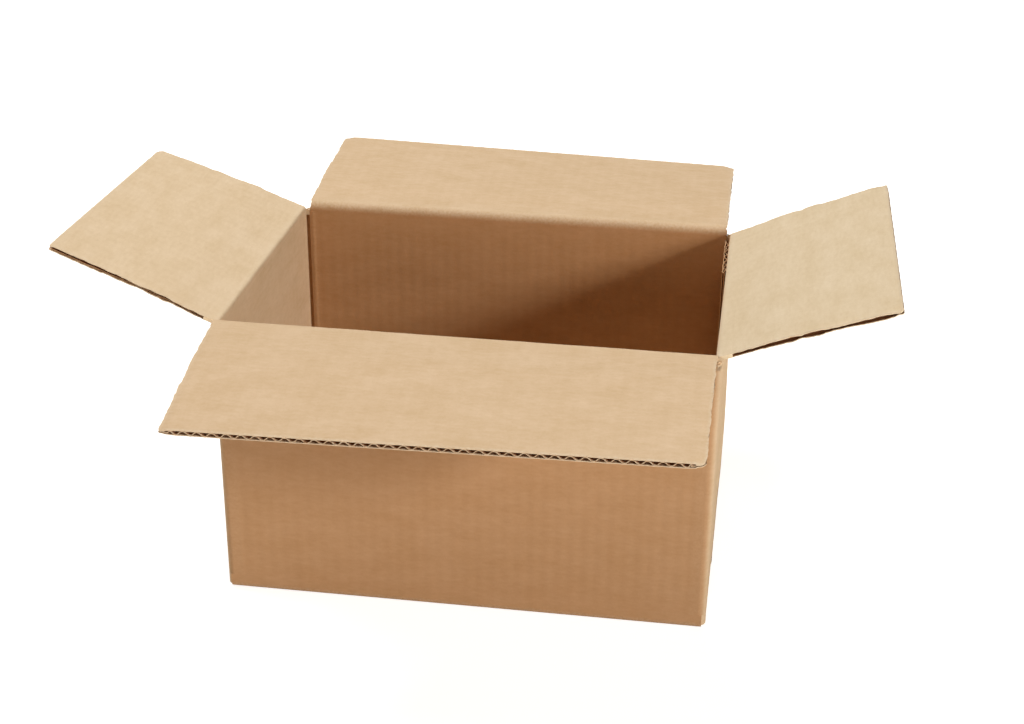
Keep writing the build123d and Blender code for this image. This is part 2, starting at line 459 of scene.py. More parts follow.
def wall_columns(board):
    """Places round the walls: outside point, inside point, distance round, share of ribs."""
    thick, radius = board.board_thickness, board.fold_radius
    ring = (
        (1, -1, True, "right"),
        (1, 1, False, "back"),
        (-1, 1, True, "left"),
        (-1, -1, True, "front"),
    )
    starts = wall_lengths(board)
    rib_span = (3 * MM, 6 * MM)
    outside, inside, distance, ribs = [], [], [], []
    turns = np.linspace(0, 1, board.fold_steps)
    for number, (x_side, y_side, scored, wall) in enumerate(ring):
        next_scored = ring[(number + 1) % len(ring)][2]
        centre = np.array([x_side * (HALF_LENGTH - radius), y_side * (HALF_WIDTH - radius)])
        fold = np.array([x_side * (HALF_LENGTH - thick), y_side * (HALF_WIDTH - thick)])
        first = math.atan2(y_side, x_side) - math.pi / 4
        angle = first + turns * math.pi / 2
        spokes = np.column_stack([np.cos(angle), np.sin(angle)])
        sweep = first - math.pi / 2 + turns * 1.5 * math.pi
        hollow = fold + board.groove_radius * np.column_stack([np.cos(sweep), np.sin(sweep)])
        outside.append(centre + radius * spokes)
        inside.append(hollow if scored else centre + (radius - thick) * spokes)
        start, span = starts[wall]
        distance.append(start + (turns - 1) * radius * math.pi / 2)
        ribs.append(np.zeros(len(turns)))

        normal = spokes[-1]
        heading = np.array([-normal[1], normal[0]])
        near = np.arange(FOLD_STEP, FOLD_SPAN, FOLD_STEP)
        columns = round(span / board.flute_pitch * board.samples_per_flute)
        middle = np.linspace(FOLD_SPAN, span - FOLD_SPAN, columns)
        stations = np.concatenate([near, middle, span - near[::-1]])
        line = outside[-1][-1] + stations[:, None] * heading
        bead = np.zeros(len(stations))
        for has_bead, from_end in ((scored, stations), (next_scored, span - stations)):
            share = (from_end + radius - thick - board.bead_offset) / board.bead_width
            crown = board.bead_height * np.cos(math.pi * share) ** 2
            bead += np.where(has_bead & (np.abs(share) < 0.5), crown, 0)
        outside.append(line)
        inside.append(line - normal * (thick + bead)[:, None])
        distance.append(start + stations)
        ribs.append(smooth_step(*rib_span, np.minimum(stations, span - stations)))
    return [np.concatenate(part) for part in (outside, inside, distance, ribs)]


def wall_painted_light(side, board):
    """Painted light level of a wall's outside and inside faces: painted shade on the long walls, deeper
    inside, and none on the end walls.
    """
    if side in LONG_SIDES:
        return 0.0, board.inside_painted_light
    return board.end_painted_light, board.end_painted_light


def flap_painted_light(side, board):
    """Painted light level of a flap's two faces. The end flaps get painted light, paler than the long
    ones.
    """
    pale = 1.0 if side in LONG_SIDES else getattr(board, f"{side}_flap_painted_light")
    return pale, pale


def end_share(outer, board):
    """How far a place on the ring belongs to an end wall, through the upright folds."""
    end_wall, long_wall = 0.1 * MM, 0.7 * board.fold_radius
    return 1 - smooth_step(end_wall, long_wall, HALF_LENGTH - np.abs(outer[:, 0]))


def build_walls(board):
    """The four walls as one folded ring of board, with scored corners."""
    outer, inner, distance, ribs = wall_columns(board)
    heights = np.linspace(board.wall_foot, board.wall_top, board.wall_rows)
    fade_span = 6 * MM
    fade = smooth_step(0, fade_span, np.minimum(heights - heights[0], heights[-1] - heights))
    relief = fade[:, None] * ribs * washboard(distance, board)
    bow = np.zeros((len(heights), len(distance), 2))
    # pale gathers each face's painted light level, passing through the upright folds from the long walls'
    # painted shade to the end walls' level
    pale, ends = np.zeros((2, len(distance))), end_share(outer, board)
    for side in SIDES:
        crease = Crease(side, board)
        out = crease.outward[:2]
        near = np.abs(outer @ out - crease.distance) < board.fold_radius
        swell = wall_bow(crease, (outer @ crease.run[:2])[None], heights[:, None], board)
        bow += (swell * near)[..., None] * out
        own = 1 - ends if side in LONG_SIDES else ends
        pale += np.array(wall_painted_light(side, board))[:, None] * np.where(near, own, 0)
    facing = outer - inner
    facing = facing / np.linalg.norm(facing, axis=1)[:, None]
    grids, places = [], []
    for line, depth in ((outer, 0.0), (inner, board.board_thickness)):
        spot = line[None] + bow + relief[..., None] * facing[None]
        grids.append(place_grid(spot[..., 0], spot[..., 1], heights[:, None]))
        places.append(place_grid(distance[None], heights[:, None], depth))
    mesh = SheetMesh("carton_walls")
    wear = board.fold_wear * (1 - ribs)[None]
    mesh.add_slab(*grids, places, wear, ring=True, painted_light_levels=pale[:, None])
    return mesh


def strip_columns(half_width, inset):
    """Columns across a strip and their distances along the crease, narrowed row by row."""
    shares = np.linspace(-1, 1, STRIP_COLUMNS)
    return (half_width - inset)[:, None] * shares[None]


def build_crease(crease, board):
    """The board over one top crease, from the wall's top to the crushed root of the flap."""
    rim, side_number = crease.height, len(crease.side)
    rounding_span, slot_margin, wear_span = 2.2 * MM, 0.2 * MM, 2.5 * MM
    painted_light_span = (-4 * MM, 2 * MM)
    wall_steps, bend_rows, flap_steps = 3, 17, 4
    shares = np.linspace(0, 1, bend_rows)
    wall_part = np.linspace(0, 1, wall_steps + 1)[:-1]
    flap_part = np.linspace(0, 1, flap_steps + 1)[1:]
    mark = np.concatenate([
        (board.wall_top - rim) * (1 - wall_part) - board.bend_span * wall_part,
        np.linspace(-board.bend_span, board.bend_span, len(shares)),
        board.bend_span + (board.crushed_root - board.bend_span) * flap_part,
    ])
    inset = board.root_rounding * np.exp(-(mark / rounding_span) ** 2)
    inset = inset + ragged(mark, grain=1.3 * MM, depth=0.25 * MM, seed=side_number) + slot_margin
    inset[[0, -1]] = slot_margin
    along = strip_columns(crease.half_width, inset)
    middle = along[len(mark) // 2]
    uneven = ragged(
        along[0], grain=9 * MM, depth=board.roll_unevenness, seed=ROLL_SEED + side_number,
    )
    out, inward = crease.directions(middle)
    centre, way = sheet_line(crease, board)

    outside = (
        rim - crease.sink - board.fillet, board.fillet, board.fillet_handle, board.fillet_handle,
    )
    inside = (
        board.roll_start, board.roll_reach, board.roll_wall_handle, board.roll_flap_handle,
    )
    grids, places = [], []
    for depth, roll in ((0.0, outside), (board.board_thickness, inside)):
        foot, reach, wall_handle, flap_handle = roll
        start = crease.on_wall(middle, foot, depth)
        end = crease.on_flap(middle, reach, depth)
        curve = bezier(start, start + wall_handle * UP, end - flap_handle * out, end, shares)
        lift = np.sin(math.pi * shares) ** 2
        curve = curve + (uneven * lift[:, None])[..., None] * inward
        low = [crease.on_wall(middle, board.wall_top + (foot - board.wall_top) * part, depth)
               for part in wall_part]
        high = [crease.on_flap(middle, reach + (board.crushed_root - reach) * part, depth)
                for part in flap_part]
        grid = np.concatenate([low, curve, high])
        grids.append(grid + (along - middle)[..., None] * crease.run)
        step = np.linalg.norm(np.diff(grid[:, STRIP_COLUMNS // 2], axis=0), axis=1)
        travelled = board.wall_top + distances(step)
        places.append(place_grid(centre + way * along, travelled[:, None], depth))
    wear = board.crease_wear * np.exp(-(mark / wear_span) ** 2)[:, None]
    # The painted light level passes across the crease from the wall's painted shade to the flap's level
    faces = zip(wall_painted_light(crease.side, board), flap_painted_light(crease.side, board))
    on_flap = smooth_step(*painted_light_span, mark)[:, None]
    mesh = SheetMesh(f"{crease.side}_crease_board")
    mesh.add_slab(
        *grids, places, wear, painted_light_levels=[wall + (flap - wall) * on_flap for wall, flap in faces],
    )
    return mesh


def build_flap(crease, board):
    """One top flap, from its crushed root to its free edge."""
    centre, way = sheet_line(crease, board)
    panel = CorrugatedPanel(
        crease.half_width, board.crushed_root, crease.reach, shift=way * centre,
        seed=FLAP_SEED + SIDES.index(crease.side), board=board,
        painted_light_levels=flap_painted_light(crease.side, board), radii=board.corner_radii(crease.side),
    )
    mesh = SheetMesh(f"{crease.flap}_board")

    def to_space(along, reach, depth):
        swell = board.flap_swell * np.sin(math.pi * reach / crease.reach) ** 2
        return crease.on_flap(along, reach, depth + swell)

    def to_sheet(along, reach, depth):
        return place_grid(centre + way * along, crease.height + reach, depth)

    panel.add_to(mesh, to_space, to_sheet)
    return mesh


def build_floor(side, board):
    """A wall's bottom fold and the floor flap that it carries, with flutes at the free edge."""
    crease = Crease(side, board)
    # The bottom fold and floor flap take their wall's painted light level, so the long sides get painted
    # shade
    thick, painted_light_levels = board.board_thickness, wall_painted_light(side, board)
    lift = 0.0 if side in LONG_SIDES else thick + board.stack_gap
    centre, way = sheet_line(crease, board)
    mesh = SheetMesh(f"{side}_floor_flap")
    turns = np.linspace(0, math.pi / 2, BEND_POINTS)
    along = strip_columns(crease.half_width, np.zeros(len(turns) + 2))
    grids, places = [], []
    for depth in (0.0, thick):
        radius = board.fold_radius - depth
        across = board.fold_radius - radius * np.cos(turns)
        height = lift + board.fold_radius - radius * np.sin(turns)
        across = np.concatenate([[depth], across, [board.floor_root]])
        height = np.concatenate([[board.wall_foot], height, [lift + depth + board.floor_lift]])
        grids.append(crease.on_wall(along, height[:, None], across[:, None]))
        step = np.hypot(np.diff(across), np.diff(height))
        travelled = board.wall_foot - distances(step)
        places.append(place_grid(centre + way * along, travelled[:, None], depth))
    bend = np.concatenate([[0], np.sin(2 * turns), [0]])[:, None]
    mesh.add_slab(*grids, places, board.foot_wear * bend, painted_light_levels=painted_light_levels)

    def to_space(along, reach, depth):
        return crease.on_wall(along, lift + depth + board.floor_lift, reach)

    def to_sheet(along, reach, depth):
        return place_grid(centre + way * along, -reach, depth)

    panel = CorrugatedPanel(
        crease.half_width, board.floor_root, crease.reach, shift=way * centre,
        seed=FLOOR_SEED + SIDES.index(side), board=board, painted_light_levels=painted_light_levels,
    )
    panel.add_to(mesh, to_space, to_sheet)
    return mesh


def post_outline(x_side, y_side, board):
    """Outline of the folded board left standing at a corner between two slots."""
    radius, thick = board.fold_radius, board.board_thickness
    slot_x = Crease("front" if y_side < 0 else "back", board).half_width
    slot_y = Crease("left", board).half_width
    centre = np.array([HALF_LENGTH - radius, HALF_WIDTH - radius])
    limit = math.pi / 2 if slot_x <= centre[0] else math.acos((slot_x - centre[0]) / radius)
    turns = np.linspace(0, limit, BEND_POINTS)
    points = (centre + radius * np.column_stack([np.cos(turns), np.sin(turns)])).tolist()
    if slot_x < HALF_LENGTH - thick:
        points += [
            [slot_x, HALF_WIDTH],
            [slot_x, HALF_WIDTH - thick],
            [HALF_LENGTH - thick, HALF_WIDTH - thick],
            [HALF_LENGTH - thick, slot_y],
        ]
    else:
        points.append([slot_x, slot_y])
    points = np.array(points)
    ring = []
    for start, way in zip(points, np.roll(points, -1, axis=0) - points):
        parts = max(1, round(np.linalg.norm(way) / POST_STEP))
        ring.extend(start + way * n / parts for n in range(parts))
    return np.array(ring) * [x_side, y_side]


def build_corner_posts(board):
    """The short posts of folded board between the slots, frayed on top."""
    mesh = SheetMesh("corner_posts")
    overlap, top_drop, foot_drop, body_rows = 2 * MM, 0.5 * MM, 0.2 * MM, 4
    for number, (x_side, y_side) in enumerate(((-1, -1), (1, -1), (-1, 1), (1, 1))):
        outline = post_outline(x_side, y_side, board)
        around = np.arange(len(outline)) * POST_STEP
        fray = ragged(around, grain=0.9 * MM, depth=board.post_fray, seed=number)
        top = [board.post_top - board.post_fray + fray]
        clear_of_fray = board.post_top - 3 * board.post_fray
        body = np.linspace(board.wall_top - overlap, clear_of_fray, body_rows)
        foot = (board.post_foot, board.wall_foot)
        for heights, end, drop in ((body, top, top_drop), (foot, [], foot_drop)):
            levels = [np.full(len(outline), height) for height in heights]
            mesh.add_post(outline, levels + end, drop)
    return mesh


def build_tab(board):
    """The glued tab inside the right wall, cut at a taper, with its crushed raw edge on top."""
    thick, liner, tab_wear = board.tab_thickness, board.liner_thickness, 0.2
    face, columns = HALF_LENGTH - board.board_thickness, 55
    mesh = SheetMesh("glued_tab")
    reach = np.linspace(0, board.tab_width, columns)
    across = HALF_WIDTH - board.board_thickness - reach
    # Rows up the tab, closer together near its two raw ends
    shares = np.concatenate([[0, 0.004, 0.02], np.linspace(0.06, 0.94, 12), [0.98, 0.996, 1]])
    taper = board.tab_taper * reach / board.tab_width
    low = board.tab_foot + taper
    high = board.tab_top - taper + ragged(reach, grain=1.2 * MM, depth=board.tab_fray, seed=TAB_SEED)

    def add_layer(depths, height, pattern_depths, finishes):
        grids, places = [], []
        for depth, pattern_depth in zip(depths, pattern_depths):
            grids.append(place_grid((face - depth)[None], across[None], height))
            places.append(place_grid(reach[None], height, pattern_depth))
        mesh.add_slab(*grids, places, tab_wear, finishes)

    rib_gain, liner_pattern = 4, 20 * MM
    height = low[None] + (high - low)[None] * shares[:, None]
    ribs = washboard(reach, board) * rib_gain
    for pair, relief in (((0.0, liner), 0 * ribs), ((thick, thick - liner), ribs)):
        depths = [depth + relief for depth in pair]
        add_layer(depths, height, [depth + liner_pattern for depth in pair], (LINER, LINER, CUT))

    crowding, medium_pattern = 1.3, 30 * MM
    foot_tuck, top_tuck = 1 * MM, 0.4 * MM
    phase = 2 * math.pi * reach / board.flute_pitch * crowding
    swing = thick / 2 - liner - board.medium_thickness / 2
    middle = thick / 2 + swing * np.sin(phase)
    height = low[None] + foot_tuck + (high - low - foot_tuck - top_tuck)[None] * shares[:, None]
    depths = [middle + side * board.medium_thickness for side in (-0.5, 0.5)]
    add_layer(depths, height, [medium_pattern] * 2, (FLUTE, FLUTE, CUT))
    return mesh


def build_tape(board):
    """Packing tape along the seam of the base and up both end walls."""
    thick, fold = board.tape_thickness, board.tape_fold
    leg_rows, base_rows, columns = 24, 30, 25
    turns = np.linspace(0, math.pi / 2, BEND_POINTS)[1:]
    legs = np.linspace(board.tape_leg, fold, leg_rows)
    base = np.linspace(HALF_LENGTH - fold, 0, base_rows)[1:]
    across = np.linspace(-board.tape_width / 2, board.tape_width / 2, columns)
    creases = ((1, Crease("right", board)), (-1, Crease("left", board)))
    mesh = SheetMesh("packing_tape")
    grids, places = [], []
    for gap in (thick, 0.0):
        off = gap + board.tape_stand_off
        x = np.concatenate([
            np.full(len(legs), HALF_LENGTH + off),
            HALF_LENGTH - fold + (fold + off) * np.cos(turns),
            base,
        ])
        z = np.concatenate([
            legs,
            fold + thick - (fold + gap) * np.sin(turns),
            np.full(len(base), thick - gap),
        ])
        x, z = np.concatenate([x, -x[-2::-1]])[:, None], np.concatenate([z, z[-2::-1]])[:, None]
        bow = sum(
            way * wall_bow(crease, across[None], z, board) * (way * x > HALF_LENGTH - fold / 2)
            for way, crease in creases
        )
        grids.append(place_grid(x + bow, across[None], z))
        travelled = distances(np.hypot(np.diff(x, axis=0), np.diff(z, axis=0)))
        places.append(place_grid(travelled[:, None], across[None], 0.0))
    mesh.add_slab(*grids, places, finishes=(0, 0, 0))
    return mesh


class Nodes:
    """Lays out the nodes of one material or of the room."""

    def __init__(self, tree):
        self.tree = tree

    def fill(self, node, inputs):
        """Feeds a node's inputs with numbers, or links other nodes' outputs to them."""
        for key, value in inputs.items():
            if isinstance(value, bpy.types.NodeSocket):
                self.tree.links.new(value, node.inputs[key])
            else:
                node.inputs[key].default_value = value

    def add(self, kind, inputs=None, **settings):
        """Adds a node, sets its options and feeds its inputs."""
        node = self.tree.nodes.new(kind)
        for key, value in settings.items():
            setattr(node, key, value)
        self.fill(node, inputs or {})
        return node

    def attribute(self, name):
        """The values that a piece's mesh holds under a name."""
        return self.add("ShaderNodeAttribute", attribute_name=name).outputs

    def math(self, operation, *values):
        """A Math node on one value or two."""
        return self.add("ShaderNodeMath", dict(enumerate(values)), operation=operation).outputs[0]

    def plus(self, first, second):
        """The sum of two values."""
        return self.math("ADD", first, second)

    def times(self, first, second):
        """The product of two values."""
        return self.math("MULTIPLY", first, second)

    def blend(self, share, first, second, kind="MIX", clamp=True):
        """Mixes two colours by a share, from 0 to 1 unless it isn't clamped."""
        return self.add(
            "ShaderNodeMix", {"Factor": share, "A": first, "B": second},
            data_type="RGBA", blend_type=kind, clamp_factor=clamp,
        ).outputs["Result"]

    def noise(self, place, scale, detail, stretch=(1.0, 1.0, 1.0), turn=0.0, rough=0.55):
        """A noise pattern on the sheet, stretched along its fibres."""
        mapping = self.add("ShaderNodeMapping", {
            "Vector": place, "Rotation": (0.0, 0.0, turn), "Scale": stretch,
        })
        return self.add("ShaderNodeTexNoise", {
            "Vector": mapping.outputs[0], "Scale": scale, "Detail": detail, "Roughness": rough,
        }).outputs["Fac"]

    def ramp(self, value, low, high, bottom=0.0, top=1.0):
        """Maps a value from one range to another and keeps it inside."""
        return self.add("ShaderNodeMapRange", {
            "Value": value, "From Min": low, "From Max": high, "To Min": bottom, "To Max": top,
        }).outputs[0]

    def spread(self, noise, bottom=0.0, top=1.0):
        """Stretches a noise pattern's middle range over a wider one."""
        return self.ramp(noise, *NOISE_MIDDLE, bottom, top)

    def bump(self, height, strength, distance):
        """Relief in a surface, with its depth as a distance."""
        return self.add("ShaderNodeBump", {
            "Strength": strength, "Distance": distance, "Height": height,
        }).outputs[0]

    def seen_white(self):
        """One where the camera, a gloss or a clear film looks, and nothing for other light."""
        path = self.add("ShaderNodeLightPath").outputs
        seen = path["Is Camera Ray"]
        for ray in ("Is Glossy Ray", "Is Transmission Ray"):
            seen = self.math("MAXIMUM", seen, path[ray])
        return seen


def new_material(name):
    """A material, the helper for its nodes, and its surface shader."""
    material = bpy.data.materials.new(name)
    material.use_nodes = True
    tree = material.node_tree
    return material, Nodes(tree), tree.nodes["Principled BSDF"]


def opaque(colour):
    """A colour as the four numbers that a node takes."""
    return tuple(colour) + (1.0,)


def shade(colour, share):
    """A colour made darker or lighter."""
    return opaque(min(1.0, part * share) for part in colour)


def dye(colour, shares):
    """A colour whose red, green and blue change by shares of their own."""
    return opaque(part * share for part, share in zip(colour, shares))


def paper_material(name, colour, colours, grain=1.0, roughness=0.86):
    """Unbleached paper: mottled pulp, short fibres, specks, flute shadows, scuffed edges, and painted
    shade and light that differ from piece to piece.
    """
    material, nodes, surface = new_material(name)
    place, wear = nodes.attribute("sheet_place")["Vector"], nodes.attribute("wear")["Fac"]
    pulp = nodes.noise(place, scale=75.0, detail=5.0, stretch=(0.6, 1.2, 9.0))
    grit = nodes.noise(place, scale=750.0, detail=5.0, stretch=(1.0, 1.0, 3.0), rough=0.7)
    fibres = nodes.noise(place, scale=300.0, detail=3.0, stretch=(0.55, 2.0, 3.0), turn=0.25)
    crossing = nodes.noise(place, scale=260.0, detail=3.0, stretch=(0.8, 1.9, 3.0), turn=-0.7)
    specks = nodes.noise(place, scale=1500.0, detail=2.0, stretch=(1.0, 0.6, 2.0))

    along = nodes.add("ShaderNodeSeparateXYZ", {0: place}).outputs[0]
    stripe = nodes.math("SINE", nodes.times(along, 2 * math.pi / colours.stripe_pitch))
    tone = nodes.times(nodes.spread(pulp, -0.5, 0.5), PULP_WEIGHT * colours.mottle)
    for pattern, weight in zip((grit, fibres, crossing), FIBRE_WEIGHTS):
        part = nodes.times(nodes.spread(pattern, -0.5, 0.5), weight * colours.mottle * grain)
        tone = nodes.plus(tone, part)
    tone = nodes.plus(tone, nodes.times(stripe, colours.stripe_shade))
    tone = nodes.plus(tone, 0.5)

    # Painted shade and light: at a level of 0 the wall tint darkens the paper as the long walls' painted
    # shade; below 0 it paints deeper shade, above 1 painted light
    pale = nodes.attribute("paleness")["Fac"]
    paper = nodes.blend(tone, dye(colour, colours.thick_pulp), dye(colour, colours.thin_pulp))
    depth = nodes.blend(pale, opaque(colours.painted_wall_shade), opaque((1.0, 1.0, 1.0)), clamp=False)
    paper = nodes.blend(1.0, paper, depth, "MULTIPLY")
    speck_share = nodes.times(nodes.ramp(specks, *SPECK_RANGE), colours.speck_shade)
    paper = nodes.blend(speck_share, paper, shade(colour, SPECK_DEPTH))
    scuff = nodes.times(wear, nodes.ramp(grit, *SCUFF_RANGE))
    paper = nodes.blend(scuff, paper, opaque(colours.scuff_colour))

    relief = nodes.plus(grit, nodes.plus(fibres, crossing))
    nodes.fill(surface, {
        "Base Color": paper,
        "Roughness": nodes.spread(grit, roughness - PAPER_SHEEN, roughness + PAPER_SHEEN),
        "Specular IOR Level": PAPER_GLOSS,
        "Normal": nodes.bump(relief, strength=0.55 * grain, distance=0.06 * MM),
    })
    return material


def tape_material(colours):
    """Tan film tape: a glossy face with fine drag lines and trapped air."""
    material, nodes, surface = new_material("tan_film_tape")
    place = nodes.attribute("sheet_place")["Vector"]
    drag = nodes.noise(place, scale=500.0, detail=3.0, stretch=(0.12, 2.0, 1.0))
    air = nodes.noise(place, scale=90.0, detail=5.0, stretch=(1.0, 0.5, 1.0))
    air = nodes.ramp(air, *TRAPPED_AIR_RANGE)
    base = tuple(colours.tape_colour)
    film = nodes.blend(nodes.spread(drag), *(shade(base, share) for share in TAPE_SHADES))
    pale = shade(base, TRAPPED_AIR_SHADE)
    film = nodes.blend(nodes.times(air, TRAPPED_AIR_SHARE), film, pale)
    nodes.fill(surface, {
        "Base Color": film,
        "Roughness": nodes.spread(drag, *TAPE_ROUGHNESS),
        "Normal": nodes.bump(nodes.plus(drag, air), strength=0.35, distance=0.04 * MM),
    })
    return material


def floor_material(colours):
    """The plain pale floor: white to the camera, and soft warm bounce on the carton."""
    material, nodes, surface = new_material("studio_floor")
    nodes.tree.nodes.remove(surface)
    place = nodes.add("ShaderNodeNewGeometry").outputs["Position"]
    cloud = nodes.spread(nodes.noise(place, scale=3.0, detail=2.0))
    base = tuple(colours.floor_colour)
    matt = nodes.add("ShaderNodeBsdfDiffuse", {
        "Color": nodes.blend(cloud, *(shade(base, share) for share in FLOOR_SHADES)),
    })
    distance = nodes.add("ShaderNodeVectorMath", {0: place}, operation="LENGTH").outputs["Value"]
    white = nodes.ramp(distance, *FLOOR_FADE, colours.floor_white, 1.0)
    glow = nodes.add("ShaderNodeEmission", {
        "Color": opaque((1.0, 1.0, 1.0)), "Strength": nodes.times(nodes.seen_white(), white),
    })
    both = nodes.add("ShaderNodeAddShader", {0: matt.outputs[0], 1: glow.outputs[0]})
    nodes.fill(nodes.tree.nodes["Material Output"], {"Surface": both.outputs[0]})
    return material


def length_setting(name, description, default):
    """A length that a user may change, in metres."""
    return bpy.props.FloatProperty(
        name=name, description=description, default=default,
        unit="LENGTH", subtype="DISTANCE", precision=5,
    )


def angle_setting(name, description, degrees):
    """An angle that a user may change."""
    return bpy.props.FloatProperty(
        name=name, description=description, default=math.radians(degrees),
        unit="ROTATION", subtype="ANGLE",
    )


def share_setting(name, description, default):
    """A plain number that a user may change."""
    return bpy.props.FloatProperty(name=name, description=description, default=default)


def count_setting(name, description, default):
    """A whole number that a user may change."""
    return bpy.props.IntProperty(name=name, description=description, default=default, min=2)


def colour_setting(name, description, default):
    """A colour that a user may change."""
    return bpy.props.FloatVectorProperty(
        name=name, description=description, default=default,
        subtype="COLOR", size=3, min=0.0, max=1.0,
    )


def tint_setting(name, description, default):
    """Shares by which a colour's red, green and blue change."""
    return bpy.props.FloatVectorProperty(
        name=name, description=description, default=default, size=3, min=0.0,
    )


class CartonBoard(bpy.types.PropertyGroup):
    """Sizes of the board, its folds, its cut edges and its wear."""

    board_thickness: length_setting("Board thickness", "Liner face to liner face", 3 * MM)
    liner_thickness: length_setting("Liner thickness", "Each flat paper face", 0.42 * MM)
    medium_thickness: length_setting("Medium thickness", "The fluted paper between the liners", 0.36 * MM)
    flute_pitch: length_setting("Flute pitch", "From one flute to the next", 6.4 * MM)
    crest_flatness: share_setting("Crest flatness", "How flat the flutes are at their crests", 1.1)
    washboard: length_setting("Washboard", "Height of the ribs that show in the liners", 0.04 * MM)
    samples_per_flute: count_setting("Liner samples", "Points across one flute in a liner", 4)
    samples_per_wave: count_setting("Medium samples", "Points across one flute in the medium", 14)

    fold_radius: length_setting("Fold radius", "Outside of the upright folds", 4 * MM)
    fold_steps: count_setting("Fold steps", "Points round an upright fold", 13)
    groove_radius: length_setting("Groove radius", "Scored groove inside a folded corner", 1.5 * MM)
    bead_offset: length_setting("Bead offset", "Bead's middle from the folded corner", 3.2 * MM)
    bead_width: length_setting("Bead width", "Bead beside the scored groove", 3 * MM)
    bead_height: length_setting("Bead height", "Bead above the liner", 0.3 * MM)
    wall_foot: length_setting("Wall foot", "Where the walls pass into the floor folds", 8 * MM)
    wall_top: length_setting("Wall top", "Where the walls pass into the crease board", 140.4 * MM)
    fold_wear: share_setting("Fold wear", "Paleness of the upright folds", 0.05)
    foot_wear: share_setting("Foot wear", "Paleness of the bottom folds", 0.5)
    # Painted light levels of the walls: 0 is the painted wall shade, below 0 paints deeper shade, 1
    # leaves the paper unshaded
    inside_painted_light: share_setting("Inside paleness", "Long walls' insides against the outsides", -0.2)
    # Painted light on the end flaps: levels above 1 make them paler than the long flaps
    left_flap_painted_light: share_setting("Left flap paleness", "Left flap against the long flaps", 1.4)
    right_flap_painted_light: share_setting("Right flap paleness", "Right flap against the long flaps", 1.8)
    end_painted_light: share_setting("End paleness", "How far the end walls are as pale as the flaps", 1.0)
    wall_rows: count_setting("Wall rows", "Points up a wall", 30)
    front_bow: length_setting("Front bow", "Swell of the front wall", 0.5 * MM)
    back_bow: length_setting("Back bow", "Swell of the back wall", 0.4 * MM)
    left_bow: length_setting("Left bow", "Swell of the left wall", 0.5 * MM)
    right_bow: length_setting("Right bow", "Swell of the right wall", 1.6 * MM)

    hinge_stand_off: length_setting("Hinge stand-off", "Crease line off the outside face", 0.1 * MM)
    seam_gap: length_setting("Seam gap", "Between the long flaps when closed", 1 * MM)
    stack_gap: length_setting("Stack gap", "Between flaps that lie on each other", 0.3 * MM)
    roll_start: length_setting("Roll start", "Height where the inside liner starts to roll", 141.8 * MM)
    roll_reach: length_setting("Roll reach", "Where the board is flat again on the flap", 0.8 * MM)
    roll_wall_handle: length_setting("Roll wall handle", "How upright the roll starts", 2.2 * MM)
    roll_flap_handle: length_setting("Roll flap handle", "How far the roll flattens the flap", 2.2 * MM)
    front_sink: length_setting("Front sink", "Crushed crease below the hinge's level", 1.3 * MM)
    back_sink: length_setting("Back sink", "Crushed crease below the hinge's level", 1.5 * MM)
    left_sink: length_setting("Left sink", "Crushed crease below the hinge's level", 0.3 * MM)
    right_sink: length_setting("Right sink", "Crushed crease below the hinge's level", 0.3 * MM)
    root_press: length_setting("Root press", "How far the board is pressed thinner at a crease", 1.2 * MM)
    press_span: length_setting("Press span", "How far out from the crease the board is pressed", 26 * MM)
    bend_margin: length_setting("Bend margin", "Flat board left between bend and flap", 0.2 * MM)
    roll_unevenness: length_setting("Roll unevenness", "Waver of the rolled crease", 0.15 * MM)
    bend_span: length_setting("Bend span", "How far from the crease the board bends", 3 * MM)
    fillet: length_setting("Outside fillet", "Outside liner at a crease folded outwards", 1.3 * MM)
    fillet_handle: length_setting("Fillet handle", "How round the outside liner's bend is", 0.91 * MM)
    crushed_root: length_setting("Crushed root", "Solid board from the crease outwards", 4.6 * MM)
    root_rounding: length_setting("Root rounding", "How far the slots bite at the crease", 0.5 * MM)
    crease_wear: share_setting("Crease wear", "Paleness of the rolled creases", 0.45)

    side_fray: length_setting("Side fray", "Unevenness of the slotted sides", 0.34 * MM)
    end_fray: length_setting("End fray", "Unevenness of the free edges", 0.07 * MM)
    side_pinch: length_setting("Side pinch", "How far slotting presses each liner in", 0.28 * MM)
    pinch_unevenness: share_setting("Pinch unevenness", "How much the pinch varies", 1.3)
    corner_pinch: length_setting("Corner pinch", "How far a free corner is crushed", 0.3 * MM)
    flap_swell: length_setting("Flap swell", "Curl of a flap between crease and edge", 0.4 * MM)
    front_twist: angle_setting("Front twist", "Change of lean from middle to end", -1.56)
    back_twist: angle_setting("Back twist", "Change of lean from middle to end", 1.73)
    left_twist: angle_setting("Left twist", "Change of lean from middle to end", 1.97)
    right_twist: angle_setting("Right twist", "Change of lean from middle to end", -1.38)
    pointed_corner: length_setting("Pointed corner", "Radius of a sharp free corner", 0.8 * MM)
    rounded_corner: length_setting("Rounded corner", "Radius of a worn free corner", 2.0 * MM)
    crushed_corner: length_setting("Crushed corner", "Radius of a crushed free corner", 3.4 * MM)

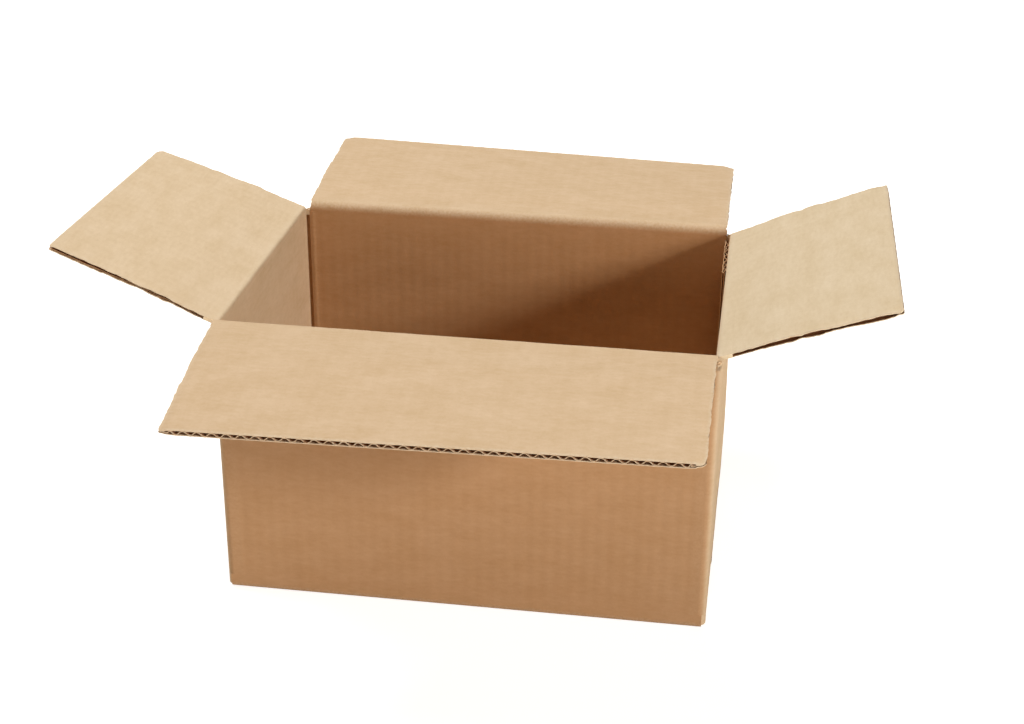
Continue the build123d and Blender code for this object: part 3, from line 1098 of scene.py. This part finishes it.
    floor_root: length_setting("Floor root", "Solid board beyond a bottom fold", 9 * MM)
    post_top: length_setting("Post top", "Top of the folded corners between slots", 141.9 * MM)
    post_foot: length_setting("Post foot", "Foot of the folded corners", 2.3 * MM)
    post_fray: length_setting("Post fray", "Unevenness on top of the folded corners", 0.5 * MM)
    tab_width: length_setting("Tab width", "Glued tab, from the corner to its end", 32 * MM)
    tab_thickness: length_setting("Tab thickness", "The tab's board, pressed thinner", 2.4 * MM)
    tab_foot: length_setting("Tab foot", "Lowest place of the tab at the corner", 12.3 * MM)
    tab_top: length_setting("Tab top", "Highest place of the tab at the corner", 138.9 * MM)
    tab_taper: length_setting("Tab taper", "How far each end of the tab slopes", 6 * MM)
    tab_fray: length_setting("Tab fray", "Unevenness of the tab's raw ends", 0.35 * MM)
    tape_width: length_setting("Tape width", "The strip under the base", 48 * MM)
    tape_thickness: length_setting("Tape thickness", "The film", 0.1 * MM)
    tape_leg: length_setting("Tape leg", "How far the tape climbs an end wall", 45 * MM)
    tape_stand_off: length_setting("Tape stand-off", "Tape off the ribs of the end walls", 0.06 * MM)
    floor_lift: length_setting("Floor lift", "Floor flaps above the tape under them", 0.16 * MM)
    tape_fold: length_setting("Tape fold", "Bend of the tape at the base", 2 * MM)

    def corner_radii(self, side):
        """Radii of a flap's two free corners, as handling has left them."""
        return {
            "front": (self.pointed_corner, self.crushed_corner),
            "back": (self.rounded_corner, self.rounded_corner),
            "left": (self.pointed_corner, self.crushed_corner),
            "right": (self.rounded_corner, self.rounded_corner),
        }[side]


class CartonColours(bpy.types.PropertyGroup):
    """Colours of the paper, the tape and the studio."""

    liner_colour: colour_setting("Liner", "Kraft paper faces", (0.705, 0.52, 0.335))
    flute_colour: colour_setting("Flutes", "The medium and the liners' glued sides", (0.34, 0.16, 0.07))
    # The raw edges are paler than the liner, partly for their exposed fibres and partly as painted light
    # where they face down into shade
    cut_colour_with_painted_light: colour_setting("Cut edge", "Raw edges of the board", (0.84, 0.64, 0.42))
    # Painted shade: the tint that darkens the long walls' paper in place of their shade
    painted_wall_shade: tint_setting("Wall depth", "How much deeper the long walls' paper is", (0.77, 0.62, 0.51))
    thin_pulp: tint_setting("Thin pulp", "Where the paper is pale", (1.11, 1.15, 1.24))
    thick_pulp: tint_setting("Thick pulp", "Where the paper is deep", (0.89, 0.85, 0.76))
    scuff_colour: colour_setting("Scuff", "Rubbed fibres at edges and creases", (0.76, 0.62, 0.45))
    tape_colour: colour_setting("Tape", "Tan film tape", (0.45, 0.29, 0.15))
    floor_colour: colour_setting("Floor", "Pale floor", (0.82, 0.81, 0.8))
    ambient_colour: colour_setting("Room", "Soft light from all round", (1.0, 0.94, 0.88))
    stripe_pitch: length_setting("Stripe pitch", "Flute shadows in the liner", 6.4 * MM)
    stripe_shade: share_setting("Stripe shade", "Strength of the flute shadows", 0.025)
    mottle: share_setting("Mottle", "Strength of the paper's mottling", 0.3)
    speck_shade: share_setting("Specks", "Strength of the dark specks", 0.3)
    floor_white: share_setting("Floor white", "White that the camera adds to the floor", 0.72)


class CartonView(bpy.types.PropertyGroup):
    """The camera's place and the studio lamps."""

    camera_place: bpy.props.FloatVectorProperty(
        name="Camera place", description="Where the camera stands", size=3,
        subtype="TRANSLATION", unit="LENGTH", default=(0.1313, -0.7962, 0.4751),
    )
    pitch: angle_setting("Pitch", "Camera's tilt down from level", 25.22)
    yaw: angle_setting("Yaw", "Camera's turn to the left", 7.655)
    roll: angle_setting("Roll", "Camera's tilt about its own line of sight", 0.88)
    focal_length: share_setting("Focal length", "In millimetres on a 36 mm wide sensor", 61.25)
    shift_across: share_setting("Shift across", "Sideways shift of the picture", -0.0252)
    shift_up: share_setting("Shift up", "Upward shift of the picture", 0.0008)
    side_power: share_setting("Side power", "Watts of the lamp at the right", 22.5)
    top_power: share_setting("Top power", "Watts of the lamp overhead", 58.0)
    fill_power: share_setting("Fill power", "Watts of the lamp at the front", 5.9)
    room_strength: share_setting("Room strength", "Soft light from all round", 0.04)


def paper_finishes(context):
    """Materials of a piece of board: its faces, its raw edges and its flutes."""
    colours = context.scene.carton_colours
    # Name, colour, strength of the grain and roughness
    kinds = (
        ("mottled_kraft_paper", colours.liner_colour, 1.0, 0.86),
        # The raw edge's colour is partly painted light
        ("torn_paper_edge", colours.cut_colour_with_painted_light, 2.0, 0.9),
        ("fluted_paper", colours.flute_colour, 1.2, 0.9),
    )
    return [
        bpy.data.materials.get(name) or paper_material(name, tuple(colour), colours, grain, rough)
        for name, colour, grain, rough in kinds
    ]


class CARTON_OT_stage(bpy.types.Operator):
    """Adds the pale floor, the soft lamps and the camera"""

    bl_idname = "carton.stage"
    bl_label = "Floor, lamps and camera"

    def execute(self, context):
        scene = context.scene
        settings, colours = scene.carton_view, scene.carton_colours
        self.add_floor(colours)
        self.add_room(scene, colours, settings)
        for name, (place, size, lamp_tint, power) in LAMPS.items():
            self.add_lamp(scene, name, place, size, lamp_tint, getattr(settings, power))
        self.add_camera(scene, settings)
        scene.view_settings.view_transform = "Standard"
        return {"FINISHED"}

    def add_floor(self, colours):
        """A wide sheet just under the carton, which isn't part of it."""
        line = np.linspace(-FLOOR_REACH, FLOOR_REACH, FLOOR_ROWS)
        points = place_grid(line[:, None], line[None], -FLOOR_DROP)
        sheet = SheetMesh("floor")
        sheet.add_skin(sheet.add_points(points, points, 0.0), 0)
        floor = sheet.build([floor_material(colours)])
        if floor.data.polygons[0].normal.z < 0:
            floor.data.flip_normals()

    def add_room(self, scene, colours, settings):
        """Soft light from all round, and white where the camera looks past the floor."""
        world = bpy.data.worlds.new("studio_room")
        world.use_nodes = True
        world.node_tree.nodes.clear()
        nodes = Nodes(world.node_tree)
        soft = nodes.add("ShaderNodeBackground", {
            "Color": opaque(colours.ambient_colour), "Strength": settings.room_strength,
        })
        white = nodes.add("ShaderNodeBackground", {"Color": opaque((1.0, 1.0, 1.0))})
        mix = nodes.add("ShaderNodeMixShader", {
            0: nodes.seen_white(), 1: soft.outputs[0], 2: white.outputs[0],
        })
        nodes.add("ShaderNodeOutputWorld", {"Surface": mix.outputs[0]})
        scene.world = world

    def add_lamp(self, scene, name, place, size, lamp_tint, power):
        """A square lamp that faces the carton."""
        light = bpy.data.lights.new(name, "AREA")
        light.shape = "SQUARE"
        light.size, light.energy, light.color = size, power, lamp_tint
        lamp = bpy.data.objects.new(name, light)
        lamp.location = place
        facing = (Vector(LAMP_TARGET) - Vector(place)).to_track_quat("-Z", "Y")
        lamp.rotation_euler = facing.to_euler()
        scene.collection.objects.link(lamp)

    def add_camera(self, scene, settings):
        """The camera, at the photograph's place and angle."""
        data = bpy.data.cameras.new("photo_camera")
        data.sensor_width = SENSOR_WIDTH
        data.lens = settings.focal_length
        data.shift_x, data.shift_y = settings.shift_across, settings.shift_up
        camera = bpy.data.objects.new("photo_camera", data)
        camera.matrix_world = (
            Matrix.Translation(settings.camera_place)
            @ Matrix.Rotation(settings.yaw, 4, "Z")
            @ Matrix.Rotation(math.pi / 2 - settings.pitch, 4, "X")
            @ Matrix.Rotation(settings.roll, 4, "Z")
        )
        scene.collection.objects.link(camera)
        scene.camera = camera


class CARTON_OT_walls(bpy.types.Operator):
    """Makes the four walls, folded and scored at the corners"""

    bl_idname = "carton.walls"
    bl_label = "Walls"

    def execute(self, context):
        board = context.scene.carton_board
        walls = build_walls(board).build(paper_finishes(context))
        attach(walls, "box_body")
        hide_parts("box_body")
        posts = build_corner_posts(board).build(paper_finishes(context))
        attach(posts, "box_body")
        return {"FINISHED"}


class CARTON_OT_floor_flaps(bpy.types.Operator):
    """Makes the bottom folds and the four floor flaps"""

    bl_idname = "carton.floor_flaps"
    bl_label = "Floor flaps"

    def execute(self, context):
        for side in SIDES:
            flap = build_floor(side, context.scene.carton_board).build(paper_finishes(context))
            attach(flap, "box_body")
        return {"FINISHED"}


class CARTON_OT_glued_joint(bpy.types.Operator):
    """Makes the glued tab inside the back right corner"""

    bl_idname = "carton.glued_joint"
    bl_label = "Glued tab"

    def execute(self, context):
        tab = build_tab(context.scene.carton_board).build(paper_finishes(context))
        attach(tab, "box_body")
        return {"FINISHED"}


class CARTON_OT_creases(bpy.types.Operator):
    """Makes the rolled board over each top crease"""

    bl_idname = "carton.creases"
    bl_label = "Top creases"

    def execute(self, context):
        board = context.scene.carton_board
        for side in SIDES:
            crease = Crease(side, board)
            strip = build_crease(crease, board).build(paper_finishes(context))
            start, end = crease.bend()
            tuple(start)
            tuple(end)
            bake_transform(strip)
        return {"FINISHED"}


class CARTON_OT_flaps(bpy.types.Operator):
    """Makes the four top flaps of fluted board"""

    bl_idname = "carton.flaps"
    bl_label = "Top flaps"

    def execute(self, context):
        board = context.scene.carton_board
        for side in SIDES:
            crease = Crease(side, board)
            flap = build_flap(crease, board).build(paper_finishes(context))
            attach(flap, crease.flap)
            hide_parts(crease.flap)
        return {"FINISHED"}


class CARTON_OT_tape(bpy.types.Operator):
    """Makes the packing tape under the base and up both end walls"""

    bl_idname = "carton.tape"
    bl_label = "Packing tape"

    def execute(self, context):
        scene = context.scene
        tape = build_tape(scene.carton_board).build([tape_material(scene.carton_colours)])
        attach(tape, "box_body")
        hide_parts("bottom_tape")
        return {"FINISHED"}


OPERATORS = (
    CARTON_OT_stage,
    CARTON_OT_walls,
    CARTON_OT_floor_flaps,
    CARTON_OT_glued_joint,
    CARTON_OT_creases,
    CARTON_OT_flaps,
    CARTON_OT_tape,
)
SETTINGS = {
    "carton_board": CartonBoard,
    "carton_colours": CartonColours,
    "carton_view": CartonView,
}


class CARTON_PT_pieces(bpy.types.Panel):
    """Lists the carton's pieces in the sidebar"""

    bl_idname = "CARTON_PT_pieces"
    bl_label = "Open carton"
    bl_space_type = "VIEW_3D"
    bl_region_type = "UI"
    bl_category = "Carton"

    def draw(self, context):
        for operator in OPERATORS:
            self.layout.operator(operator.bl_idname)
        for name in SETTINGS:
            box = self.layout.box()
            settings = getattr(context.scene, name)
            for key in settings.__annotations__:
                box.prop(settings, key)


def register():
    for group in SETTINGS.values():
        bpy.utils.register_class(group)
    for operator in OPERATORS:
        bpy.utils.register_class(operator)
    bpy.utils.register_class(CARTON_PT_pieces)
    for name, group in SETTINGS.items():
        setattr(bpy.types.Scene, name, bpy.props.PointerProperty(type=group))


def unregister():
    for name in SETTINGS:
        delattr(bpy.types.Scene, name)
    bpy.utils.unregister_class(CARTON_PT_pieces)
    for operator in reversed(OPERATORS):
        bpy.utils.unregister_class(operator)
    for group in SETTINGS.values():
        bpy.utils.unregister_class(group)


def main():
    """Registers the add-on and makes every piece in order."""
    register()
    for operator in OPERATORS:
        getattr(bpy.ops.carton, operator.bl_idname.split(".")[1])()


if __name__ == "__main__":
    main()
